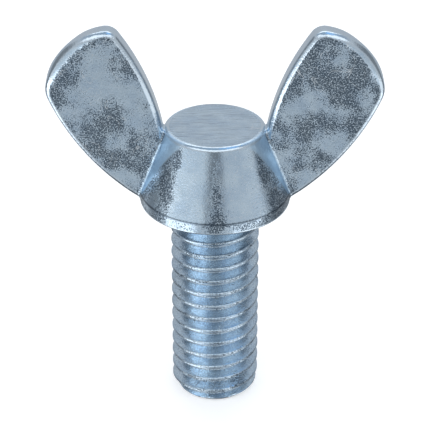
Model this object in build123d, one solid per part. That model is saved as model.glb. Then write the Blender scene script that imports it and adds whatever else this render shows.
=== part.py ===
from build123d import *

import math
import os

# Wing screw, M6 x 15: a forged wing head with a threaded stud fixed in its hub.
# Millimetres.  The origin is the centre of the hub's flat underside, which is the
# bearing face.  +Z runs up the screw's axis towards the wings, the wings spread
# along X, and their flat faces look along +Y and -Y.

# ---- thread ----
thread_diameter = 6.0
thread_pitch = 1.0
thread_length = 15.0        # from the bearing face to the point
thread_start = 0.34         # on +X, the crests stand this far above each whole pitch
point_diameter = thread_diameter - 1.1 * thread_pitch   # flat end left by the 45 degree chamfer

# ---- hub ----
flange_diameter = 10.1
flange_height = 0.8
hub_top_diameter = 6.6      # where the cone would meet the flat top if the rim were sharp
hub_height = 5.5
rim_radius = 0.36
flange_edge_radius = 0.12

# ---- wings ----
wing_span = 22.1            # over both tips
head_height = 12.5          # from the bearing face to the highest point of a wing
wing_thickness = 1.6
wing_edge_radius = wing_thickness / 4
root_fillet_radius = 0.2    # where a wing's face runs into the cone
peak_offset = 7.05          # from the axis to the highest point of a wing
shoulder_height = 0.672 * head_height   # height of the widest point
peak_radius = 0.08 * head_height
shoulder_radius = 0.148 * head_height
tip_radius = 1.15 * (wing_span / 2 - peak_offset)
side_radius = 1.336 * head_height       # of the two long arcs, inner and outer
inner_root_offset = hub_top_diameter / 2 + 0.15     # the inner arc at the level of the hub's top
outer_root_offset = flange_diameter / 2 + 0.63      # the outer arc at the top of the flange

# ---- joint between stud and head ----
spigot_diameter = thread_diameter - 0.65 * thread_pitch   # plain end, as wide as the blank of a rolled thread
spigot_length = 3.6
spigot_lead = 0.3
joint_gap = 0.02            # radial, filled by the braze
bore_end_gap = 0.3
relief_depth = 0.3          # counterbore that lets the thread start inside the hub
relief_gap = 0.2            # radial, around the thread's crests

# ---- derived ----
flange_radius = flange_diameter / 2
hub_top_radius = hub_top_diameter / 2
crest_radius = thread_diameter / 2
thread_depth = 0.6134 * thread_pitch
root_radius = crest_radius - thread_depth
crest_flat = thread_pitch / 8
bore_radius = spigot_diameter / 2 + joint_gap
bore_depth = relief_depth + spigot_length + bore_end_gap
relief_radius = crest_radius + relief_gap


def circle_centre(point, distance, other_point, other_distance, side):
    """Centre of a circle at given distances from two points, on the chosen side of their line."""
    gap = other_point - point
    along = (distance**2 - other_distance**2 + gap.length**2) / (2 * gap.length)
    across = math.sqrt(distance**2 - along**2)
    direction = gap.normalized()
    normal = Vector(-direction.Y, direction.X)
    return point + direction * along + normal * (side * across)


def touching_point(centre, radius, inner_centre):
    """Where a circle is touched from inside by a smaller one."""
    return centre + (inner_centre - centre).normalized() * radius


def point_at_height(centre, radius, height, side):
    """The point of a circle at a height, to the left (-1) or right (1) of its centre."""
    reach = math.sqrt(radius**2 - (height - centre.Y) ** 2)
    return Vector(centre.X + side * reach, height)


def arc(centre, radius, start, end):
    """The arc of a circle from start to end, the short way round."""
    middle = (start - centre).normalized() + (end - centre).normalized()
    return ThreePointArc(start, centre + middle.normalized() * radius, end)


def wing_outline():
    """Outline of the right wing in the X-Z plane: five arcs that run into each other
    smoothly, closed by straight lines inside the hub."""
    peak = Vector(peak_offset, head_height - peak_radius)
    shoulder = Vector(wing_span / 2 - shoulder_radius, shoulder_height)
    inner_root = Vector(inner_root_offset, hub_height)
    outer_root = Vector(outer_root_offset, flange_height)

    tip = circle_centre(peak, tip_radius - peak_radius, shoulder, tip_radius - shoulder_radius, -1)
    inner = circle_centre(inner_root, side_radius, peak, side_radius - peak_radius, -1)
    outer = circle_centre(shoulder, side_radius - shoulder_radius, outer_root, side_radius, -1)

    inner_start = point_at_height(inner, side_radius, hub_height - 2 * rim_radius, -1)
    peak_start = touching_point(inner, side_radius, peak)
    tip_start = touching_point(tip, tip_radius, peak)
    shoulder_start = touching_point(tip, tip_radius, shoulder)
    outer_start = touching_point(outer, side_radius, shoulder)
    outer_end = point_at_height(outer, side_radius, flange_edge_radius, 1)
    inside_low = Vector(relief_radius, outer_end.Y)
    inside_high = Vector(relief_radius, inner_start.Y)

    return [
        arc(inner, side_radius, inner_start, peak_start),
        arc(peak, peak_radius, peak_start, tip_start),
        arc(tip, tip_radius, tip_start, shoulder_start),
        arc(shoulder, shoulder_radius, shoulder_start, outer_start),
        arc(outer, side_radius, outer_start, outer_end),
        Line(outer_end, inside_low),
        Line(inside_low, inside_high),
        Line(inside_high, inner_start),
    ]


def make_wing():
    """The right wing: a flat plate with rounded edges, symmetric about the X-Z plane."""
    face = make_face(Plane.XZ * Curve(wing_outline()))
    plate = extrude(face, amount=wing_thickness / 2, both=True)
    rounded = plate.edges().filter_by(GeomType.CIRCLE)
    return fillet(rounded, wing_edge_radius)


def make_hub():
    """The hub: a low round flange, a straight cone and a flat top with a rounded rim."""
    profile = Polyline(
        (0, 0),
        (flange_radius, 0),
        (flange_radius, flange_height),
        (hub_top_radius, hub_height),
        (0, hub_height),
        close=True,
    )
    section = make_face(profile)
    bottom, crease, rim = section.vertices().filter_by(lambda v: v.X > 0.1).sort_by(Axis.Y)
    section = fillet([bottom, crease], flange_edge_radius)
    rim = section.vertices().filter_by(lambda v: v.X > 0.1).sort_by(Axis.Y)[-1]
    section = fillet(rim, rim_radius)
    return revolve(Plane.XZ * section, Axis.Z)


def root_edges(head):
    """The four edges where the wings' flat faces run into the cone."""
    cone = head.faces().filter_by(GeomType.CONE)[0]
    flats = head.faces().filter_by(Plane.XZ)
    flat_edges = [edge for flat in flats for edge in flat.edges()]
    return [edge for edge in cone.edges() if any(edge.is_same(other) for other in flat_edges)]


def make_wing_head():
    """The head: hub and wings in one forging, bored from below for the stud."""
    wing = make_wing()
    head = make_hub() + wing + mirror(wing, Plane.YZ)
    head = fillet(root_edges(head), root_fillet_radius)
    head -= Pos(0, 0, bore_depth / 2) * Cylinder(bore_radius, bore_depth)
    head -= Pos(0, 0, relief_depth / 2) * Cylinder(relief_radius, relief_depth)
    return head


def make_thread_ridge():
    """The right-hand ridge of the ISO thread, sunk a little into the core that carries it.
    It starts and ends a turn beyond the threaded length, and is trimmed to it later."""
    sunk = thread_depth / 10
    flank = math.tan(math.radians(30))
    half_crest = crest_flat / 2
    half_root = half_crest + (thread_depth + sunk) * flank
    start_height = thread_start - thread_length - thread_pitch
    turns_height = thread_length + relief_depth + 2 * thread_pitch
    base_radius = root_radius - sunk
    path = Pos(0, 0, start_height) * Helix(thread_pitch, turns_height, base_radius)
    profile = Polyline(
        (base_radius, start_height - half_root),
        (crest_radius, start_height - half_crest),
        (crest_radius, start_height + half_crest),
        (base_radius, start_height + half_root),
        close=True,
    )
    return sweep(make_face(Plane.XZ * profile), path=path, is_frenet=True)


def make_end_trim():
    """The space that the thread's ridge may fill: a wide blank with a 45 degree cone at the
    point. Its side stands clear of the crests, so it trims only the ridge's two ends."""
    blank_radius = thread_diameter
    point_radius = point_diameter / 2
    profile = Polyline(
        (0, -thread_length),
        (point_radius, -thread_length),
        (blank_radius, -thread_length + blank_radius - point_radius),
        (blank_radius, relief_depth),
        (0, relief_depth),
        close=True,
    )
    return revolve(Plane.XZ * make_face(profile), Axis.Z)


def make_threaded_stud():
    """The stud: a threaded shank with a chamfered point, and a plain spigot for the hub."""
    shank_height = thread_length + relief_depth
    core = Pos(0, 0, relief_depth - shank_height / 2) * Cylinder(root_radius, shank_height)
    spigot = Pos(0, 0, relief_depth + spigot_length / 2) * Cylinder(spigot_diameter / 2, spigot_length)
    spigot = chamfer(spigot.edges().sort_by(Axis.Z)[-1], spigot_lead)
    return core + (make_thread_ridge() & make_end_trim()) + spigot


os.makedirs("parts", exist_ok=True)
export_step(make_wing_head(), "parts/wing_head.step")
export_step(make_threaded_stud(), "parts/threaded_stud.step")
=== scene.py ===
import math
from functools import partial

import bpy
import numpy as np
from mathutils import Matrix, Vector


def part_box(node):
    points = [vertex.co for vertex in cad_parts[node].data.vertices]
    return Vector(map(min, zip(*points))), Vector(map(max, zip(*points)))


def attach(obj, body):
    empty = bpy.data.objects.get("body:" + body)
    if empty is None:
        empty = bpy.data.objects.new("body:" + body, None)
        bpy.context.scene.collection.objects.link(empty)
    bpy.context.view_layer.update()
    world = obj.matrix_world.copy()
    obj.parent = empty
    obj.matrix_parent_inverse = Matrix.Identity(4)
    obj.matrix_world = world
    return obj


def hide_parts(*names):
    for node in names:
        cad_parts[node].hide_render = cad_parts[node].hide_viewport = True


bl_info = {
    "name": "Wing Screw",
    "version": (1, 0, 0),
    "blender": (4, 5, 0),
    "location": "View3D > Sidebar > Wing Screw",
    "description": "A zinc-plated wing screw: a forged head and a threaded stud, on a studio stage",
    "category": "Add Mesh",
}

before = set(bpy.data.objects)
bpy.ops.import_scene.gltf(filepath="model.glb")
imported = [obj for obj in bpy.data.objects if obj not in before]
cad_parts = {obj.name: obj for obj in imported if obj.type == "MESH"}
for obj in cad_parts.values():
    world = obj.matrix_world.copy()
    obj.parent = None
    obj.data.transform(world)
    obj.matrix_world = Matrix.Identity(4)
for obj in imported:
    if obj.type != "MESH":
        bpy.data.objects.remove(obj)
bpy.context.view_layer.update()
head_low, head_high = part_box("wing_head")
stud_low, stud_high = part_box("threaded_stud")

MM = 0.001
THREAD_DEPTH = 0.6134  # of a metric thread, as a share of its pitch


# ---------------------------------------------------------------- settings


def length(name, description, default):
    """A size in metres, shown in the scene's length unit."""
    return bpy.props.FloatProperty(
        name=name, description=description, default=default, unit="LENGTH", precision=5
    )


def tilt(name, description, degrees):
    """An angle given in degrees, shown in the scene's unit of rotation."""
    return bpy.props.FloatProperty(
        name=name, description=description, default=math.radians(degrees), unit="ROTATION"
    )


def colour(name, description, default):
    """A colour given as an sRGB hex value."""
    return bpy.props.StringProperty(name=name, description=description, default=default)


class WINGSCREW_PG_head(bpy.types.PropertyGroup):
    """Sizes of the forged head."""

    wing_span: length("Wing span", "Over both wing tips", head_high[0] - head_low[0])
    head_height: length("Head height", "Bearing face to the top of the wings", head_high[2])
    flange_diameter: length("Flange", "Diameter of the round flange", head_high[1] - head_low[1])
    flange_height: length("Flange height", "Height of the flange's straight side", 0.8 * MM)
    hub_top_diameter: length("Hub top", "Where the cone would meet the flat top", 6.6 * MM)
    hub_height: length("Hub height", "Bearing face to the flat top", 5.5 * MM)
    rim_radius: length("Rim radius", "Rounding between the cone and the flat top", 0.36 * MM)
    flange_edge_radius: length("Flange edge radius", "Rounding of the flange's two edges", 0.12 * MM)
    wing_thickness: length("Wing thickness", "Between the wings' flat faces", 1.6 * MM)
    edge_radius: length("Edge radius", "Rounding of the wings' outer edges", 0.3 * MM)
    inner_edge_radius: length("Inner edge radius", "Rounding of the wings' inner edges", 0.46 * MM)
    bevel_width: length("Bevel width", "Tip bevel over the face, at the middle of a tip", 0.55 * MM)
    bevel_radius: length("Bevel radius", "Rounding where the bevel meets the face", 0.25 * MM)
    bevel_angle: tilt("Bevel angle", "Between the bevel and the face", 45)
    root_radius: length("Root radius", "Fillet where the wings run into the hub", 0.18 * MM)
    peak_offset: length("Peak offset", "Axis to the highest point of a wing", 7.05 * MM)
    shoulder_height: length("Shoulder height", "Height of a wing's widest point", 8.4 * MM)
    peak_radius: length("Peak radius", "Corner arc at the highest point", 1.0 * MM)
    shoulder_radius: length("Shoulder radius", "Corner arc at the widest point", 1.85 * MM)
    tip_radius: length("Tip radius", "Arc between the two corners", 4.6 * MM)
    side_radius: length("Side radius", "The two long arcs of a wing", 16.7 * MM)
    inner_root: length("Inner root", "Axis to the inner arc at the hub's top", 3.45 * MM)
    outer_root: length("Outer root", "Axis to the outer arc at the flange's top", 5.68 * MM)
    bore_diameter: length("Bore", "Blind bore that holds the stud", 5.39 * MM)
    bore_depth: length("Bore depth", "Bearing face to the end of the bore", 4.2 * MM)
    relief_diameter: length("Relief", "Counterbore round the thread", 6.4 * MM)
    relief_depth: length("Relief depth", "Depth of the counterbore", 0.3 * MM)
    cell: length("Mesh cell", "Spacing of the head's mesh", 0.1 * MM)


class WINGSCREW_PG_stud(bpy.types.PropertyGroup):
    """Sizes of the threaded stud."""

    diameter: length("Diameter", "Over the thread's crests", 6.0 * MM)
    pitch: length("Pitch", "Between neighbouring crests", 1.0 * MM)
    point: length("Point", "Height of the flat end", stud_low[2])
    point_diameter: length("Point diameter", "Flat left by the chamfer", 4.9 * MM)
    crest_start: length("Crest start", "On +X, how far crests stand above whole pitches", 0.34 * MM)
    thread_top: length("Thread top", "Where the thread ends inside the hub", 0.3 * MM)
    spigot_diameter: length("Spigot", "Plain end fixed in the bore", 5.35 * MM)
    spigot_lead: length("Spigot lead", "Chamfer on the plain end", 0.3 * MM)
    top: length("Top", "Height of the plain end's face", stud_high[2])
    crest_radius: length("Crest radius", "Rounding of the rolled crests", 0.015 * MM)


class WINGSCREW_PG_look(bpy.types.PropertyGroup):
    """Colours and finish of the plating, the floor and the camera's place."""

    film_light: colour("Film, light", "Lighter tone of the passivated zinc", "#C6DAEA")
    film_dark: colour("Film, dark", "Darker tone of the passivated zinc", "#B8CEE2")
    # Colour of the blue reflection painted on the cone beside the wings.
    reflection_blue: colour("Film, blue", "Thicker film in the sheltered corners", "#BEE1FC")
    # Also the colour of the painted shade in the crease at the flange and in the thread's roots, and of the
    # pits that stand partly for painted shade on the cone.
    pit_and_shade: colour("Pits", "Bottom of the pits, where the film is thick", "#28394A")
    bare: colour("Rubbed zinc", "Edges and crests that tumbling has rubbed bright", "#D8E2EA")
    roughness: bpy.props.FloatProperty(
        name="Roughness", description="Mean roughness of the flats", default=0.2, min=0.0, max=1.0
    )
    relief: length("Relief", "Height of the plating's fine relief", 0.03 * MM)
    floor: colour("Floor", "Darker tone of the floor's paint", "#F4F4F4")
    camera_distance: length("Camera distance", "From the aim point to the camera", 124.292 * MM)
    camera_elevation: tilt("Camera elevation", "Above the horizon", 30.31)
    aim_height: length("Aim height", "The point on the axis that the camera looks at", -1.373 * MM)
    lens: bpy.props.FloatProperty(
        name="Lens",
        description="Focal length in millimetres on a 36 mm sensor",
        default=153.07,
        unit="CAMERA",
    )


# ---------------------------------------------------------------- shapes


def circle_centre(point, distance, other_point, other_distance, side):
    """The centre of a circle at given distances from two points, on one side of their line."""
    gap = other_point - point
    span = np.hypot(*gap)
    along = (distance**2 - other_distance**2 + span**2) / (2 * span)
    across = math.sqrt(distance**2 - along**2)
    normal = np.array([-gap[1], gap[0]])
    return point + (gap * along + normal * side * across) / span


def rounded_corner(centre, radius, first, second):
    """A corner of a convex outline: its arc's centre and radius and the outward directions
    at the arc's two ends."""
    return centre, radius, first / np.hypot(*first), second / np.hypot(*second)


def outline_distance(u, v, sides, corners):
    """Distance from a convex outline, negative inside. It is the largest of the distances
    from the sides, but in the wedge that a corner's two end directions enclose it is the
    distance from that corner's arc."""
    distance = np.maximum.reduce(sides)
    for centre, radius, first, second in corners:
        du, dv = u - centre[0], v - centre[1]
        turn = np.sign(first[0] * second[1] - first[1] * second[0])
        after_first = (first[0] * dv - first[1] * du) * turn >= 0
        before_second = (du * second[1] - dv * second[0]) * turn >= 0
        arc = np.hypot(du, dv) - radius
        distance = np.where(after_first & before_second, arc, distance)
    return distance


def wing_outline_distance(x, z, size):
    """Distance in the X-Z plane from a wing's outline: two long arcs that would cross at the
    far end, cut off by the tip's arc, with smaller arcs at the peak and at the shoulder.
    Each arc touches the next where they meet."""
    x = np.abs(x)
    peak = np.array([size.peak_offset, size.head_height - size.peak_radius])
    shoulder = np.array([size.wing_span / 2 - size.shoulder_radius, size.shoulder_height])
    inner_root = np.array([size.inner_root, size.hub_height])
    outer_root = np.array([size.outer_root, size.flange_height])
    side, tip = size.side_radius, size.tip_radius
    tip_centre = circle_centre(peak, tip - size.peak_radius, shoulder, tip - size.shoulder_radius, -1)
    inner_centre = circle_centre(inner_root, side, peak, side - size.peak_radius, -1)
    outer_centre = circle_centre(shoulder, side - size.shoulder_radius, outer_root, side, -1)
    sides = [np.hypot(x - centre[0], z - centre[1]) - side for centre in (inner_centre, outer_centre)]
    corners = [
        rounded_corner(tip_centre, tip, peak - tip_centre, shoulder - tip_centre),
        rounded_corner(peak, size.peak_radius, peak - inner_centre, peak - tip_centre),
        rounded_corner(shoulder, size.shoulder_radius, shoulder - tip_centre, shoulder - outer_centre),
    ]
    return outline_distance(x, z, sides, corners)


def hub_distance(radius, z, size):
    """Distance from the hub's turned profile: flat top, cone, straight flange side and flat
    underside, each a straight line, with every corner rounded."""
    foot = size.flange_diameter / 2
    top = size.hub_top_diameter / 2
    slope = np.array([size.hub_height - size.flange_height, foot - top])
    slope = slope / np.hypot(*slope)
    up, out, down = np.array([0.0, 1.0]), np.array([1.0, 0.0]), np.array([0.0, -1.0])
    lines = [
        (up, size.hub_height),
        (slope, slope @ np.array([top, size.hub_height])),
        (out, foot),
        (down, 0.0),
    ]
    radii = (size.rim_radius, size.flange_edge_radius, size.flange_edge_radius)
    corners = []
    for (first, reach), (second, next_reach), rounding in zip(lines, lines[1:], radii):
        centre = np.linalg.solve(np.array([first, second]), [reach - rounding, next_reach - rounding])
        corners.append(rounded_corner(centre, rounding, first, second))
    sides = [normal[0] * radius + normal[1] * z - reach for normal, reach in lines]
    return outline_distance(radius, z, sides, corners)


def round_both(a, b, radius):
    """The space inside both of two shapes, with the edge between them rounded."""
    inner = np.minimum(-radius, np.maximum(a, b))
    return inner + np.hypot(np.maximum(radius + a, 0), np.maximum(radius + b, 0))


def round_either(a, b, radius):
    """The space inside either of two shapes, with a fillet in the corner between them."""
    outer = np.maximum(radius, np.minimum(a, b))
    return outer - np.hypot(np.maximum(radius - a, 0), np.maximum(radius - b, 0))


def tip_nearness(x, z, size):
    """How near a place is to the middle of a wing's tip, as a bell curve from 0 to 1 that
    falls off over 3 mm."""
    tip_x, tip_z = 0.9 * size.wing_span / 2, 0.87 * size.head_height
    spread = 3.0 * MM
    return np.exp(-((np.abs(x) - tip_x) ** 2 + (z - tip_z) ** 2) / spread**2)


def head_distance(x, y, z, size):
    """Distance from the head's surface, negative in the metal. The wings are a plate with
    rounded edges, a little more so along the inner side, and a bevel that widens towards the
    middle of each tip. They stop short of the bearing face. A fillet joins them to the hub,
    and the counterbore and the blind bore are taken away."""
    # The edge radius changes across a line that leans outwards up the middle of a wing.
    middle = 0.425 * size.wing_span / 2 + 0.34 * z
    change = 1.5 * MM
    inner_share = np.clip((middle - np.abs(x)) / change + 0.5, 0, 1)
    edge = size.edge_radius + (size.inner_edge_radius - size.edge_radius) * inner_share
    outline = wing_outline_distance(x, z, size)
    side = np.abs(y) - size.wing_thickness / 2
    wings = round_both(outline, side, edge)
    # Away from the tips the bevel recedes until it stands clear of the plate.
    clear = 0.5 * MM
    width = (size.bevel_width + clear) * tip_nearness(x, z, size) - clear
    bevel = math.sin(size.bevel_angle) * (outline + width) + math.cos(size.bevel_angle) * side
    wings = round_both(wings, bevel, size.bevel_radius)
    wings = np.maximum(wings, size.flange_edge_radius - z)
    radius = np.hypot(x, y)
    solid = round_either(hub_distance(radius, z, size), wings, size.root_radius)
    bore = np.maximum(radius - size.bore_diameter / 2, z - size.bore_depth)
    relief = np.maximum(radius - size.relief_diameter / 2, z - size.relief_depth)
    return np.maximum(solid, -np.minimum(bore, relief))


def slope_of(function, points, step):
    """Unit slope of a distance function at points, from differences across each axis."""
    slope = np.empty_like(points)
    for axis in range(3):
        offset = np.zeros(3)
        offset[axis] = step
        slope[:, axis] = function(*(points + offset).T) - function(*(points - offset).T)
    return slope / np.linalg.norm(slope, axis=1, keepdims=True)


MARGIN = 1.37  # how far the grid of cells reaches past the head, at least, in cells


def spaced(low, high, cell):
    """Even steps that start and end a little outside two limits."""
    return np.arange(low - MARGIN * cell, high + (MARGIN + 1) * cell, cell)


def mirrored_steps(reach, fine_start, fine_end, cell):
    """Steps that mirror about zero and go a little past a reach, half as long between two
    limits as elsewhere."""
    inner = np.arange(cell / 2, fine_start, cell)
    fine = np.arange(inner[-1] + cell / 2, fine_end, cell / 2)
    outer = np.arange(fine[-1] + cell, reach + (MARGIN + 1) * cell, cell)
    half = np.concatenate([inner, fine, outer])
    return np.concatenate([-half[::-1], half])


def skin(function, axes, step, passes=5):
    """The surface where a distance function is zero, as points and quads. The three axes
    give the planes of a grid of cells. Each cell that the surface passes through holds one
    point, each grid edge that it crosses gives the quad of the four cells around that edge,
    and the points are then moved along the slope onto the surface."""
    values = function(*np.meshgrid(*axes, indexing="ij", sparse=True))
    inside = values < 0
    start, end = slice(None, -1), slice(1, None)
    corner_count = sum(
        inside[i, j, k].astype(np.int8) for i in (start, end) for j in (start, end) for k in (start, end)
    )
    crossed = (corner_count > 0) & (corner_count < 8)
    index = np.full(crossed.shape, -1)
    index[crossed] = np.arange(crossed.sum())
    cells = np.argwhere(crossed)
    middles = [(axis[1:] + axis[:-1]) / 2 for axis in axes]
    points = np.stack([middle[cells[:, a]] for a, middle in enumerate(middles)], axis=1)
    for _ in range(passes):
        points -= slope_of(function, points, step) * function(*points.T)[:, None]

    quads = []
    for axis in range(3):
        first, second = (axis + 1) % 3, (axis + 2) % 3
        ahead = np.moveaxis(inside, axis, 0)
        change = np.moveaxis(ahead[1:] != ahead[:-1], 0, axis)
        at = np.argwhere(change)
        back_first, back_second = np.eye(3, dtype=int)[first], np.eye(3, dtype=int)[second]
        ring = [at - back_first - back_second, at - back_second, at, at - back_first]
        faces = np.stack([index[tuple(corner.T)] for corner in ring], axis=1)
        leaving = inside[tuple(at.T)]
        quads.append(np.where(leaving[:, None], faces, faces[:, ::-1]))
    return points, np.concatenate(quads)


def grid_quads(rows, columns):
    """Quads between neighbouring rows of a grid whose columns close into a ring."""
    row, column = np.meshgrid(np.arange(rows - 1), np.arange(columns), indexing="ij")
    here, right = row * columns + column, row * columns + (column + 1) % columns
    return np.stack([here, right, right + columns, here + columns], axis=-1).reshape(-1, 4)


def make_piece(name, points, faces, normals=None):
    """A mesh object from arrays of points and faces, smooth shaded, with its place in its mesh."""
    mesh = bpy.data.meshes.new(name)
    mesh.from_pydata(points, [], faces)
    mesh.validate()
    mesh.polygons.foreach_set("use_smooth", np.ones(len(mesh.polygons), dtype=bool))
    if normals is not None:
        mesh.normals_split_custom_set_from_vertices(normals)
    mesh.update()
    piece = bpy.data.objects.new(name, mesh)
    bpy.context.scene.collection.objects.link(piece)
    return piece


def merged_triangles(points, quads):
    """The same surface with points that coincide made one, and the faces that this leaves
    without an area taken out."""
    nearness = 0.0001 * MM
    rounded = np.round(points / nearness).astype(np.int64)
    _, first, merged = np.unique(rounded, axis=0, return_index=True, return_inverse=True)
    corners = merged.reshape(-1)[quads]
    triangles = np.concatenate([corners[:, [0, 1, 2]], corners[:, [0, 2, 3]]])
    a, b, c = triangles.T
    return points[first], triangles[(a != b) & (b != c) & (c != a)]


def add_attribute(piece, name, values):
    """Keeps one number for each point of a mesh, for its material to read."""
    attribute = piece.data.attributes.new(name, "FLOAT", "POINT")
    attribute.data.foreach_set("value", values.astype(np.float32))


def smooth_lower(a, b, width):
    """The lower of two curves, with the corner where they cross eased over a width."""
    near = np.maximum(width - np.abs(a - b), 0) / width
    return np.minimum(a, b) - near**2 * width / 4


def thread_radius(angle, z, size):
    """Radius of the thread's surface. Along the axis it rises and falls once a pitch: flanks
    at 60 degrees to each other between an eased crest and an eased root, and the crest climbs
    one pitch a turn, to the right. A 45 degree cone trims it at the point."""
    crest = size.diameter / 2
    root = crest - THREAD_DEPTH * size.pitch
    half_crest = size.pitch / 16
    crest_ease, root_ease = 2 * size.crest_radius, 10 * size.crest_radius
    turns = (z - size.crest_start) / size.pitch - angle / (2 * math.pi)
    from_crest = np.abs(turns - np.round(turns)) * size.pitch
    flank = crest - (from_crest - half_crest) / math.tan(math.radians(30))
    ridge = smooth_lower(flank, crest, crest_ease)
    ridge = -smooth_lower(-ridge, -root, root_ease)
    cone = size.point_diameter / 2 + (z - size.point)
    return smooth_lower(ridge, cone, size.crest_radius)


def make_stud(size, steps=120, rows_per_turn=24, rings_in_end=8):
    """The stud as one closed surface of angle and height. Its rows climb with the thread, so
    they run along the crests, and are held between the point and the thread's top. Two more
    groups of rings close the flat point and add the plain spigot."""
    turns = (size.thread_top - size.point) / size.pitch
    row = np.arange(-rows_per_turn, math.ceil((turns + 1) * rows_per_turn) + 1)[:, None]
    angle = 2 * math.pi * np.arange(steps)[None, :] / steps
    climb = size.pitch * (row / rows_per_turn + angle / (2 * math.pi))
    z = np.clip(size.point + climb, size.point, size.thread_top)
    radius = thread_radius(angle, z, size)
    angle = angle + 0 * z

    spigot = size.spigot_diameter / 2
    lead = size.spigot_lead
    end_radius = thread_radius(angle[:1], 0 * angle[:1] + size.point, size)
    end_rings = np.linspace(0.0, 1.0, rings_in_end)[:, None] * end_radius
    top_radius = thread_radius(angle[:1], 0 * angle[:1] + size.thread_top, size)
    rings = [(spigot, size.thread_top), (spigot, size.top - lead), (spigot - lead, size.top), (0.0, size.top)]
    spigot_rings = np.concatenate([top_radius] + [r + 0 * top_radius for r, _ in rings])
    spigot_heights = np.array([size.thread_top] + [height for _, height in rings])[:, None]

    groups = [
        (end_rings, size.point + 0 * end_rings),
        (radius, z),
        (spigot_rings, spigot_heights + 0 * spigot_rings),
    ]
    points, quads, used = [], [], 0
    for group_radius, group_z in groups:
        around = angle[0] + 0 * group_radius
        sheet = np.stack([group_radius * np.cos(around), group_radius * np.sin(around), group_z], axis=-1)
        faces = grid_quads(*group_radius.shape)
        # A thread row that has gone once round meets the row that starts one pitch higher.
        if group_z is z:
            faces[steps - 1 :: steps, 1:3] += rows_per_turn * steps
            faces = faces[faces.max(axis=1) < z.size]
        points.append(sheet.reshape(-1, 3))
        quads.append(faces + used)
        used += group_radius.size
    return merged_triangles(np.concatenate(points), np.concatenate(quads))


def floor_sheet(reach, height, steps=24):
    """A level square grid of points: two parameters run evenly from -reach to +reach."""
    along = np.linspace(-reach, reach, steps)
    x, y = np.meshgrid(along, along)
    points = np.stack([x, y, 0 * x + height], axis=-1).reshape(-1, 3)
    quads = grid_quads(steps, steps)
    across_edge = np.arange(len(quads)) % steps == steps - 1
    return points, quads[~across_edge]


# ---------------------------------------------------------------- materials


def linear(hex_colour):
    """A linear colour with alpha from an sRGB hex value."""
    parts = [int(hex_colour[i : i + 2], 16) / 255 for i in (1, 3, 5)]
    return [c / 12.92 if c <= 0.04045 else ((c + 0.055) / 1.055) ** 2.4 for c in parts] + [1.0]


def add_node(tree, kind, settings, *inputs, output=0):
    """Adds a node and returns one of its outputs, by place or by name, if it has any. Settings
    are its own properties. Inputs follow the order of the sockets that those settings leave in
    use, and each is a value, another node's output, or None for the socket's own default."""
    node = tree.nodes.new(kind)
    for name, value in settings.items():
        setattr(node, name, value)
    sockets = [socket for socket in node.inputs if socket.enabled]
    for socket, value in zip(sockets, inputs):
        if isinstance(value, bpy.types.NodeSocket):
            tree.links.new(value, socket)
        elif value is not None:
            socket.default_value = value
    if output is None:
        return None
    if isinstance(output, str):
        return node.outputs[output]
    return [socket for socket in node.outputs if socket.enabled][output]


MATHS, RANGE, NOISE = "ShaderNodeMath", "ShaderNodeMapRange", "ShaderNodeTexNoise"
MIX, ATTRIBUTE, AXIS = "ShaderNodeMix", "ShaderNodeAttribute", "ShaderNodeSeparateXYZ"
SUBTRACT = {"operation": "SUBTRACT"}
MULTIPLY = {"operation": "MULTIPLY"}
MULTIPLY_ADD = {"operation": "MULTIPLY_ADD"}
MAXIMUM = {"operation": "MAXIMUM"}
ABSOLUTE = {"operation": "ABSOLUTE"}
LENGTH = {"operation": "LENGTH"}
SMOOTH = {"interpolation_type": "SMOOTHSTEP"}
COLOURS = {"data_type": "RGBA"}

# Widths of the plating's patterns. Most real pits, grain and orange peel are too fine to show
# in the render, so they are drawn about 0.1 mm wide, as coarse as they need to be to show.
BORDER = 0.25 * MM  # raggedness where a rubbed edge ends
PATCH = 1.6 * MM  # patches where the pits crowd
PIT = 0.09 * MM  # pits and specks
SCRATCH_LOOP = 1.5 * MM  # loops of the scribbled scratches
SCRATCHED_AREA = 4.0 * MM  # areas that have scratches
STREAK = 0.08 * MM  # streaks of the drawn grain
CLOUD = 1.1 * MM  # lighter and darker film
SHEEN = 0.7 * MM  # uneven gloss
PEEL = 0.12 * MM  # orange peel
WAVE = 0.9 * MM  # slow waves


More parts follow.
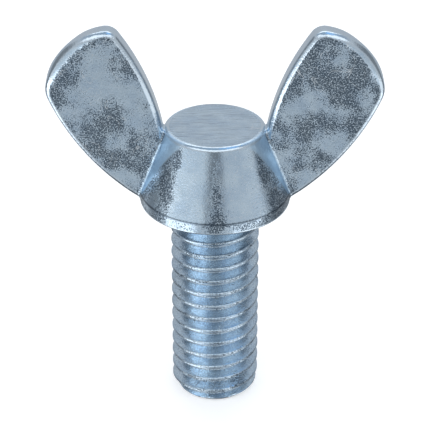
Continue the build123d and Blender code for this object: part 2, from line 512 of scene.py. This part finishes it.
def zinc_plated_steel(name, look, grain_stretch, grain_low, grain_high):
    """Forged or rolled steel, barrel plated with bright zinc and blue passivated. The thin
    passivation film gives the eye a cool blue-grey metal with a cloudy tone. Tumbling rubs
    the edges and crests smooth, while the flats keep fine pits and bright specks in patches,
    a few scribbled scratches and an uneven gloss. On the cone the crowded dark pits are partly
    painted shade, an even, bluer tint beside the wings is a painted reflection, and dark colour
    in narrow hollows is painted shade. Near the axis and between two heights a drawn grain
    shows."""
    material = bpy.data.materials.new(name)
    material.use_nodes = True
    tree = material.node_tree
    tree.nodes.clear()
    add = partial(add_node, tree)

    place = add("ShaderNodeTexCoord", {}, output="Object")
    edges = add(ATTRIBUTE, {"attribute_name": "rubbed"}, output="Fac")
    # Masks for the painted blue reflection beside the wings and for the painted shade in narrow hollows,
    # carried by the pieces.
    sheltered = add(ATTRIBUTE, {"attribute_name": "sheltered"}, output="Fac")
    hollow = add(ATTRIBUTE, {"attribute_name": "hollow"}, output="Fac")
    pitted = add(ATTRIBUTE, {"attribute_name": "pitted"}, output="Fac")

    # The rubbed edges end in a ragged border.
    border = add(NOISE, {}, place, 1 / BORDER, 3.0)
    rubbed = add(RANGE, SMOOTH, add(MATHS, MULTIPLY_ADD, border, 0.8, edges), 0.65, 1.05)
    kept = add(MATHS, SUBTRACT, 1.0, add(MATHS, MAXIMUM, rubbed, sheltered))

    # Pits and specks about 0.1 mm across, crowded into patches 2 to 4 mm wide. On the cone the crowded dark
    # pits are partly painted shade.
    broad = add(MATHS, MULTIPLY_ADD, pitted, 0.14, add(NOISE, {}, place, 1 / PATCH, 5.0))
    patch = add(RANGE, SMOOTH, broad, 0.42, 0.78, -0.4, 1.0)
    fine = add(NOISE, {}, place, 1 / PIT, 4.0)
    crowded = add(MATHS, MULTIPLY_ADD, patch, 0.2, fine)
    pits = add(MATHS, MULTIPLY, add(RANGE, SMOOTH, crowded, 0.52, 0.72), kept)
    specks = add(MATHS, MULTIPLY, add(RANGE, SMOOTH, fine, 0.34, 0.46, 1.0, 0.0), kept)

    # Scratches: thin lines where a slowly turning noise passes its middle value.
    turning = add(NOISE, {}, place, 1 / SCRATCH_LOOP, 0.0, None, None, 1.2)
    line = add(MATHS, ABSOLUTE, add(MATHS, SUBTRACT, turning, 0.5))
    scratched = add(RANGE, SMOOTH, add(NOISE, {}, place, 1 / SCRATCHED_AREA, 0.0), 0.47, 0.55)
    scratches = add(MATHS, MULTIPLY, add(RANGE, SMOOTH, line, 0.0, 0.011, 1.0, 0.0), scratched)
    scratches = add(MATHS, MULTIPLY, scratches, kept)

    # Grain: streaks stretched along one axis, between the two heights and within a reach of
    # the screw's own axis.
    reach = 3.0 * MM
    fade = 0.02 * MM
    stretched = add("ShaderNodeVectorMath", MULTIPLY, place, grain_stretch)
    across = add("ShaderNodeVectorMath", MULTIPLY, place, (1.0, 1.0, 0.0))
    radius = add("ShaderNodeVectorMath", LENGTH, across, output="Value")
    height = add(AXIS, {}, place, output="Z")
    above = add(RANGE, SMOOTH, height, grain_low, grain_low + fade)
    below = add(RANGE, SMOOTH, height, grain_high - fade, grain_high, 1.0, 0.0)
    near_axis = add(RANGE, SMOOTH, radius, reach, reach + 5 * fade, 1.0, 0.0)
    grained = add(MATHS, MULTIPLY, add(MATHS, MULTIPLY, above, below), near_axis)
    streaks = add(RANGE, SMOOTH, add(NOISE, {}, stretched, 1 / STREAK, 2.0), 0.42, 0.75)
    grain = add(MATHS, MULTIPLY, streaks, grained)

    cloud = add(RANGE, SMOOTH, add(NOISE, {}, place, 1 / CLOUD, 3.0), 0.3, 0.7)
    film = add(MIX, COLOURS, cloud, linear(look.film_dark), linear(look.film_light))
    # Over the film go a painted blue reflection, bright specks, grain, pits that are partly painted shade on
    # the cone, painted shade in narrow hollows, rubbed edges and scratches.
    tones = (
        (sheltered, 0.5, look.reflection_blue),
        (specks, 0.5, look.bare),
        (grain, 0.35, look.pit_and_shade),
        (pits, 0.8, look.pit_and_shade),
        (hollow, 0.85, look.pit_and_shade),
        (rubbed, 0.4, look.bare),
        (scratches, 0.75, look.bare),
    )
    for mask, share, tone in tones:
        film = add(MIX, COLOURS, add(MATHS, MULTIPLY, mask, share), film, linear(tone))

    even = look.roughness
    gloss = add(NOISE, {}, place, 1 / SHEEN, 3.0)
    gloss = add(RANGE, SMOOTH, gloss, 0.3, 0.7, even * 0.8, even * 1.25)
    for mask, change in ((pits, 0.18), (sheltered, 0.2), (rubbed, -0.35 * even)):
        gloss = add(MATHS, MULTIPLY_ADD, mask, change, gloss)

    # The surface's relief: fine orange peel, slow waves, pits sunk into it, and grain.
    peel_height = add(RANGE, SMOOTH, patch, 0.0, 1.0, 0.3, 0.7)
    relief = add(MATHS, MULTIPLY, add(NOISE, {}, place, 1 / PEEL, 3.0), peel_height)
    waves = add(NOISE, {}, place, 1 / WAVE, 2.0)
    for part, share in ((waves, 0.4), (pits, -0.25), (grain, 0.12)):
        relief = add(MATHS, MULTIPLY_ADD, part, share, relief)
    bump = add("ShaderNodeBump", {}, 1.0, look.relief, None, relief)

    shader = add("ShaderNodeBsdfPrincipled", {}, film, 1.0, gloss)
    tree.links.new(bump, shader.node.inputs["Normal"])
    add("ShaderNodeOutputMaterial", {}, shader, output=None)
    return material


def painted_floor(name, shade):
    """A matt painted studio floor: pale, with the faint mottle of rolled paint, and lit from
    within a little so that it stays white round the object."""
    material = bpy.data.materials.new(name)
    material.use_nodes = True
    tree = material.node_tree
    tree.nodes.clear()
    add = partial(add_node, tree)
    place = add("ShaderNodeTexCoord", {}, output="Object")
    mottle_width, roughness, glow = 8 * MM, 0.9, 0.45
    mottle = add(NOISE, {}, place, 1 / mottle_width, 3.0)
    paint = add(MIX, COLOURS, mottle, linear(shade), linear("#FFFFFF"))
    shader = add("ShaderNodeBsdfPrincipled", {}, paint, 0.0, roughness)
    shader.node.inputs["Emission Color"].default_value = linear("#FFFFFF")
    shader.node.inputs["Emission Strength"].default_value = glow
    add("ShaderNodeOutputMaterial", {}, shader, output=None)
    return material


# ---------------------------------------------------------------- light


# The surround by elevation in degrees, as red, green and blue: dark straight below, light
# from a pale floor, pale walls, blue-grey upper walls and a blue zenith.
SURROUND = (
    (-90, (0.08, 0.09, 0.10)),
    (-62, (0.10, 0.11, 0.12)),
    (-50, (0.58, 0.59, 0.60)),
    (0, (0.54, 0.55, 0.57)),
    (34, (0.62, 0.62, 0.63)),
    (44, (0.44, 0.49, 0.55)),
    (72, (0.36, 0.44, 0.52)),
    (80, (0.38, 0.50, 0.63)),
    (90, (0.38, 0.50, 0.63)),
)

# Each softbox or dark screen of the studio: azimuth limits in degrees (0 is the front, and
# positive is to the right), elevation limits, how far its edge fades either way, and its
# light.
SCREENS = (
    ("front top softbox", (-70, 70), (34, 61), 5, (1.4, 1.4, 1.4)),
    ("back top softbox, left half", (-190, -135), (42, 62), 5, (1.6, 1.6, 1.6)),
    ("back top softbox, right half", (135, 190), (42, 62), 5, (1.6, 1.6, 1.6)),
    ("right overhead window", (50, 160), (62, 82), 7, (0.40, 0.68, 1.05)),
    ("left dark screen", (-122, -84), (-40, 26), 6, (0.25, 0.26, 0.27)),
    ("right dark screen", (84, 122), (-40, 26), 6, (0.25, 0.26, 0.27)),
    ("left softbox", (-80, -13), (0, 17), 5, (0.77, 0.79, 0.80)),
    ("right softbox", (14, 78), (0, 17), 8, (0.63, 0.64, 0.65)),
    ("left middle softbox", (-82, -24), (-22, 0), 4, (2.1, 2.1, 2.1)),
    ("right middle softbox", (24, 82), (-22, 0), 4, (1.10, 1.10, 1.10)),
    ("left low softbox", (-82, -34), (-50, -24), 4, (1.9, 1.9, 1.9)),
    ("right low softbox", (30, 82), (-50, -24), 4, (1.6, 1.6, 1.6)),
    ("grey front below", (-28, 24), (-44, -22), 3, (0.62, 0.63, 0.64)),
    ("dark behind the camera", (-13, 13), (-20, 24), 3, (0.23, 0.24, 0.25)),
)


def between(tree, value, limits, soft):
    """A mask that is 1 between two limits and fades to 0 over a soft step at each of them."""
    rise = add_node(tree, RANGE, SMOOTH, value, limits[0] - soft, limits[0] + soft)
    fall = add_node(tree, RANGE, SMOOTH, value, limits[1] - soft, limits[1] + soft, 1.0, 0.0)
    return add_node(tree, MATHS, MULTIPLY, rise, fall)


def build_studio_light(world):
    """The studio as light by direction: the surround by elevation, and softboxes and dark
    screens in front of it, each covering what is behind it."""
    world.use_nodes = True
    tree = world.node_tree
    tree.nodes.clear()
    add = partial(add_node, tree)

    direction = add("ShaderNodeTexCoord", {}, output="Generated")
    x, y, z = (add(AXIS, {}, direction, output=name) for name in "XYZ")
    front = add(MATHS, MULTIPLY, y, -1.0)
    azimuth = add(MATHS, MULTIPLY, add(MATHS, {"operation": "ARCTAN2"}, x, front), 180 / math.pi)
    elevation = add(MATHS, MULTIPLY, add(MATHS, {"operation": "ARCSINE"}, z), 180 / math.pi)
    light = add("ShaderNodeValToRGB", {}, add(MATHS, MULTIPLY_ADD, elevation, 1 / 180, 0.5))
    stops = light.node.color_ramp.elements
    while len(stops) < len(SURROUND):
        stops.new(0.5)
    for stop, (degrees, strength) in zip(stops, SURROUND):
        stop.position = degrees / 180 + 0.5
        stop.color = strength + (1.0,)
    for _, azimuths, elevations, soft, strength in SCREENS:
        across, upwards = between(tree, azimuth, azimuths, soft), between(tree, elevation, elevations, soft)
        light = add(MIX, COLOURS, add(MATHS, MULTIPLY, across, upwards), light, strength + (1.0,))
    background = add("ShaderNodeBackground", {}, light, 1.0)
    add("ShaderNodeOutputWorld", {}, background, output=None)


# ---------------------------------------------------------------- operators


def on_wings(radius, z, size):
    """Which places belong to the wings: those more than 0.1 mm off the hub."""
    return hub_distance(radius, z, size) > 0.1 * MM


def rubbing(distance, reach):
    """How rubbed a place is by its distance from an edge: 1 or more up to 0.87 of a reach,
    and 0 or less from 1.2 of it."""
    return 3 * (1.2 - distance / reach)


def wear(points, size):
    """How far tumbling has rubbed the head, from 0 to 1: over the wings' rounded edges, by
    the distance in from the outline, and over the hub's rim and lower edge, by the distance
    from where the straight lines beside each would cross."""
    x, y, z = points.T
    radius = np.hypot(x, y)
    inset = -wing_outline_distance(x, z, size)
    amounts = [np.where(on_wings(radius, z, size), rubbing(inset, size.edge_radius), 0.0)]
    corners = (
        (size.hub_top_diameter / 2, size.hub_height, 0.7 * size.rim_radius),
        (size.flange_diameter / 2, 0.0, size.flange_edge_radius),
    )
    for corner_radius, corner_height, reach in corners:
        amounts.append(rubbing(np.hypot(radius - corner_radius, z - corner_height), reach))
    return np.clip(np.maximum.reduce(amounts), 0, 1)


def corner_reach(points, size):
    """How far a place on the cone lies outside the corner beside a wing where a blue reflection
    is painted, negative within it. The corner widens from 0.35 mm at the flange to 1.95 mm at the top."""
    _, y, z = points.T
    narrow_end, widening = 0.35 * MM, 0.34
    return np.abs(y) - size.wing_thickness / 2 - narrow_end - widening * (z - size.flange_height)


def pit_and_shade_amount(points, size):
    """How many pits the head has, and where dark pits stand in part for painted shade, from
    -2 for clean to about 2. The wings have pits all over, more near the outline and low down,
    and the right one more than the left, above all at its top. The cone has pits in a stripe
    along its middle, 90 degrees from the wings, that fades out over the top 1.5 mm, and from
    the wings round to 58 degrees on the left and 50 on the right; these dark zones on the cone
    are partly real pits and partly painted shade. The flange has a few pits all round and
    underneath, and the flat top and the wings' bevels are clean."""
    x, y, z = points.T
    radius = np.hypot(x, y)
    turn = np.degrees(np.arctan2(np.abs(y), np.abs(x)))
    inset = -wing_outline_distance(x, z, size)
    rim = np.exp(-((inset / (1.3 * MM)) ** 2))
    low = np.clip((0.62 * size.head_height - z) / (1.5 * MM), 0, 1)
    high = np.clip((z - 0.65 * size.head_height) / (2 * MM), -1, 1)
    on_wing = 0.7 + 0.4 * np.maximum(rim, low) + np.where(x > 0, 0.45 + 0.5 * high, 0.0)
    on_wing = np.where(inset < size.bevel_width * tip_nearness(x, z, size), -1.5, on_wing)
    border = 9  # degrees
    # Painted shade, in part: the dark stripe down the cone's middle and the dark zones beside the wings.
    middle = np.exp(-(((turn - 90) / border) ** 2)) * np.clip((size.hub_height - z) / (1.5 * MM), 0, 1)
    beside = np.clip((np.where(x > 0, 50, 58) - turn) / border, 0, 1)
    on_cone = 3.0 * np.maximum(middle, beside) - 1.6
    on_flange = np.maximum(on_cone, 0.5)
    on_top, under_crease = z > size.hub_height - 0.01 * MM, z < size.flange_height
    on_hub = np.select([on_top, under_crease], [-2.0, on_flange], on_cone)
    return np.where(on_wings(radius, z, size), on_wing, on_hub)


def blue_reflection_mask(points, size):
    """Where the head gets a painted blue reflection, from 0 to 1: 1 on the cone in the corners
    beside the wings, fading over 0.15 mm at their border."""
    _, y, z = points.T
    off_wing = np.abs(y) > 0.52 * size.wing_thickness
    on_cone = (z < size.hub_height) & (z > size.flange_height) & off_wing
    border = 0.15 * MM
    return np.where(on_cone, np.clip(-corner_reach(points, size) / border, 0, 1), 0.0)


class WINGSCREW_OT_head(bpy.types.Operator):
    """Builds the wing head with its plating and puts it in the place of the solid head"""

    bl_idname = "wingscrew.head"
    bl_label = "Wing Head"

    def execute(self, context):
        size, look = context.scene.wingscrew_head, context.scene.wingscrew_look

        def distance(x, y, z):
            return head_distance(x, y, z, size)

        # The cells are finer over the wings' roots, along X, and where the plate's edges and
        # fillets turn, across it.
        roots, edges = (3.15 * MM, 5.1 * MM), (0.4 * MM, 1.1 * MM)
        along = mirrored_steps(head_high[0], *roots, size.cell)
        across = mirrored_steps(head_high[1], *edges, size.cell)
        axes = (along, across, spaced(0.0, head_high[2], size.cell))
        step = 0.002 * MM
        points, quads = skin(distance, axes, step)
        piece = make_piece("wing_head_plated", points, quads, slope_of(distance, points, step))
        # Painted shade: a dark line within about 0.1 mm of the crease at the top of the flange.
        radius = np.hypot(points[:, 0], points[:, 1])
        off_crease = np.hypot(radius - size.flange_diameter / 2, points[:, 2] - size.flange_height)
        hollow = np.clip(1.5 - off_crease / (0.07 * MM), 0, 1)
        add_attribute(piece, "rubbed", wear(points, size))
        add_attribute(piece, "sheltered", blue_reflection_mask(points, size))
        add_attribute(piece, "pitted", pit_and_shade_amount(points, size))
        add_attribute(piece, "hollow", hollow)
        turned = (0.06, 1.0, 1.0)
        top, depth = size.hub_height, 0.03 * MM
        piece.data.materials.append(
            zinc_plated_steel("forged_steel_zinc_plated", look, turned, top - depth, top + depth)
        )
        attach(piece, "root")
        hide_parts("wing_head")
        return {"FINISHED"}


class WINGSCREW_OT_stud(bpy.types.Operator):
    """Builds the threaded stud with its plating and puts it in the place of the solid stud"""

    bl_idname = "wingscrew.stud"
    bl_label = "Threaded Stud"

    def execute(self, context):
        size, look = context.scene.wingscrew_stud, context.scene.wingscrew_look
        points, triangles = make_stud(size)
        piece = make_piece("threaded_stud_plated", points, triangles)
        piece.data.set_sharp_from_angle(angle=math.radians(40))
        radius = np.hypot(points[:, 0], points[:, 1])
        # The crests are the outer 12% of the thread's depth, and the hollows the inner 6%, where the roots
        # get painted shade.
        depth = THREAD_DEPTH * size.pitch
        crest_depth, root_shade_depth = 0.12 * depth, 0.06 * depth
        root = size.diameter / 2 - depth
        crest = np.clip((radius - size.diameter / 2) / crest_depth + 1, 0, 1)
        hollow = np.clip(1 - (radius - root) / root_shade_depth, 0, 1)
        add_attribute(piece, "rubbed", 0.1 * crest)
        add_attribute(piece, "pitted", crest - 0.4)
        add_attribute(piece, "hollow", 0.3 * hollow)
        add_attribute(piece, "sheltered", np.zeros(len(points)))
        rolled = (1.0, 1.0, 0.2)
        piece.data.materials.append(
            zinc_plated_steel("rolled_steel_zinc_plated", look, rolled, size.point, size.thread_top)
        )
        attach(piece, "root")
        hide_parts("threaded_stud")
        return {"FINISHED"}


class WINGSCREW_OT_stage(bpy.types.Operator):
    """Builds the floor, the studio light and the camera"""

    bl_idname = "wingscrew.stage"
    bl_label = "Studio Stage"

    def execute(self, context):
        look = context.scene.wingscrew_look
        # The floor reaches 1.5 m each way, just under the stud's point.
        reach, gap = 1.5, 0.02 * MM
        floor = make_piece("studio_floor", *floor_sheet(reach, stud_low[2] - gap))
        floor.data.materials.append(painted_floor("floor_paint_matt", look.floor))
        # Reflections show the surround's pale floor instead.
        floor.visible_glossy = False

        world = bpy.data.worlds.new("studio_surround")
        context.scene.world = world
        build_studio_light(world)

        lens = bpy.data.cameras.new("studio_camera")
        lens.lens = look.lens
        lens.sensor_width = 36.0
        lens.clip_start, lens.clip_end = 0.005, 10.0
        camera = bpy.data.objects.new("studio_camera", lens)
        context.scene.collection.objects.link(camera)
        back = Vector((0.0, -math.cos(look.camera_elevation), math.sin(look.camera_elevation)))
        camera.location = Vector((0.0, 0.0, look.aim_height)) + back * look.camera_distance
        camera.rotation_euler = (math.pi / 2 - look.camera_elevation, 0.0, 0.0)
        context.scene.camera = camera
        context.scene.view_settings.view_transform = "Standard"
        return {"FINISHED"}


class WINGSCREW_PT_panel(bpy.types.Panel):
    """Lists the pieces and the stage"""

    bl_idname = "WINGSCREW_PT_panel"
    bl_label = "Wing Screw"
    bl_space_type = "VIEW_3D"
    bl_region_type = "UI"
    bl_category = "Wing Screw"

    def draw(self, context):
        for operator in OPERATORS:
            self.layout.operator(operator.bl_idname)


OPERATORS = (WINGSCREW_OT_head, WINGSCREW_OT_stud, WINGSCREW_OT_stage)
SETTINGS = {
    "wingscrew_head": WINGSCREW_PG_head,
    "wingscrew_stud": WINGSCREW_PG_stud,
    "wingscrew_look": WINGSCREW_PG_look,
}


def register():
    for settings in SETTINGS.values():
        bpy.utils.register_class(settings)
    for name, settings in SETTINGS.items():
        setattr(bpy.types.Scene, name, bpy.props.PointerProperty(type=settings))
    for cls in OPERATORS + (WINGSCREW_PT_panel,):
        bpy.utils.register_class(cls)


def unregister():
    for cls in reversed(OPERATORS + (WINGSCREW_PT_panel,)):
        bpy.utils.unregister_class(cls)
    for name in SETTINGS:
        delattr(bpy.types.Scene, name)
    for settings in SETTINGS.values():
        bpy.utils.unregister_class(settings)


def main():
    register()
    bpy.ops.wingscrew.head()
    bpy.ops.wingscrew.stud()
    bpy.ops.wingscrew.stage()


if __name__ == "__main__":
    main()
